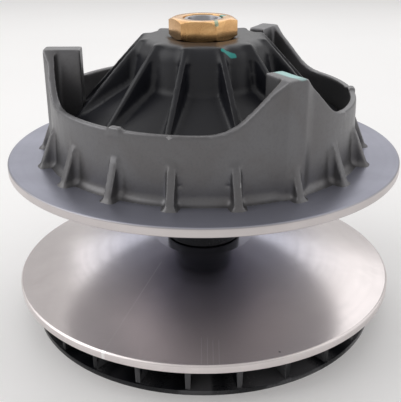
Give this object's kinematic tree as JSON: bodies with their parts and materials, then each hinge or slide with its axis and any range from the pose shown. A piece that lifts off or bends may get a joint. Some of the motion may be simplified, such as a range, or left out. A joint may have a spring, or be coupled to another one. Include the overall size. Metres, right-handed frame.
{
  "type": "variable speed drive pulley",
  "caption": "Belt-drive CVT drive pulley: fixed sheave with cooling fan, sliding sheave with towers and gussets, flyweight levers under a ribbed black governor cup, top nut.",
  "frame": {"origin": "centre of the fan's underside, on the floor and on the shaft axis", "axes": "+Z along the shaft, from the fan towards the nut; +X through the keyway and one flyweight lever"},
  "size_m": [0.203, 0.203, 0.157],
  "materials": {
    "turned_aluminium": "fine turned, semi-polished",
    "cast_aluminium": "as cast with machined rim and belt face",
    "black_fan": "satin black",
    "black_coated_cast": "satin black coating",
    "machined_steel": "turned and ground",
    "zinc_steel": "bright zinc",
    "yellow_zinc": "yellow zinc plated",
    "bronze": "sintered bronze",
    "black_steel": "black oxide",
    "spring_steel": "phosphated",
    "forged_steel": "dark forged",
    "brown_plastic": "moulded, wear resistant",
    "dark_plastic": "moulded, wear resistant"
  },
  "bodies": {
    "shaft_group": {"fixed_sheave": "turned_aluminium", "cooling_fan": "black_fan", "fan_screws": "zinc_steel", "post": "machined_steel", "idler_bush": "bronze", "spring_seat": "zinc_steel", "spring": "spring_steel", "governor_cup": "black_coated_cast", "slider_shoe_1": "dark_plastic", "slider_shoe_2": "dark_plastic", "slider_shoe_3": "dark_plastic", "top_nut": "yellow_zinc"},
    "sliding_group": {"sliding_sheave": "cast_aluminium", "post_bush": "bronze", "lever_pin_1": "machined_steel", "lever_pin_2": "machined_steel", "lever_pin_3": "machined_steel", "pin_clips": "spring_steel"},
    "idler": {"idler_sleeve": "black_steel"},
    "lever_1": {"lever_1": "forged_steel", "roller_pin_1": "machined_steel"},
    "roller_1": {"roller_1": "brown_plastic"},
    "lever_2": {"lever_2": "forged_steel", "roller_pin_2": "machined_steel"},
    "roller_2": {"roller_2": "brown_plastic"},
    "lever_3": {"lever_3": "forged_steel", "roller_pin_3": "machined_steel"},
    "roller_3": {"roller_3": "brown_plastic"}
  },
  "joints": [
    {"name": "sheave_slide", "type": "slide", "parent": "shaft_group", "child": "sliding_group", "axis": [0, 0, -1], "range_m": [0, 0.025], "stiffness_N_per_m": 4000, "springref_m": -0.03, "deforming": ["spring"]},
    {"name": "idler_spin", "type": "hinge", "parent": "shaft_group", "child": "idler", "pos_m": [0, 0, 0.054], "axis": [0, 0, 1], "continuous": true},
    {"name": "lever_swing_1", "type": "hinge", "parent": "sliding_group", "child": "lever_1", "pos_m": [0.05449, 0, 0.096], "axis": [0, 1, 0], "range_deg": [0, 65]},
    {"name": "roller_spin_1", "type": "hinge", "parent": "lever_1", "child": "roller_1", "pos_m": [0.034, 0, 0.11201], "axis": [0, 1, 0], "continuous": true},
    {"name": "lever_swing_2", "type": "hinge", "parent": "sliding_group", "child": "lever_2", "pos_m": [-0.02724, 0.04719, 0.096], "axis": [-0.866, -0.5, 0], "range_deg": [0, 65]},
    {"name": "roller_spin_2", "type": "hinge", "parent": "lever_2", "child": "roller_2", "pos_m": [-0.017, 0.02944, 0.11201], "axis": [-0.866, -0.5, 0], "continuous": true},
    {"name": "lever_swing_3", "type": "hinge", "parent": "sliding_group", "child": "lever_3", "pos_m": [-0.02724, -0.04719, 0.096], "axis": [0.866, -0.5, 0], "range_deg": [0, 65]},
    {"name": "roller_spin_3", "type": "hinge", "parent": "lever_3", "child": "roller_3", "pos_m": [-0.017, -0.02944, 0.11201], "axis": [0.866, -0.5, 0], "continuous": true}
  ],
  "couplings": [
    {"joint": "lever_swing_1", "follows": "sheave_slide", "rad_per_m": 45.37},
    {"joint": "lever_swing_2", "follows": "sheave_slide", "rad_per_m": 45.37},
    {"joint": "lever_swing_3", "follows": "sheave_slide", "rad_per_m": 45.37}
  ]
}
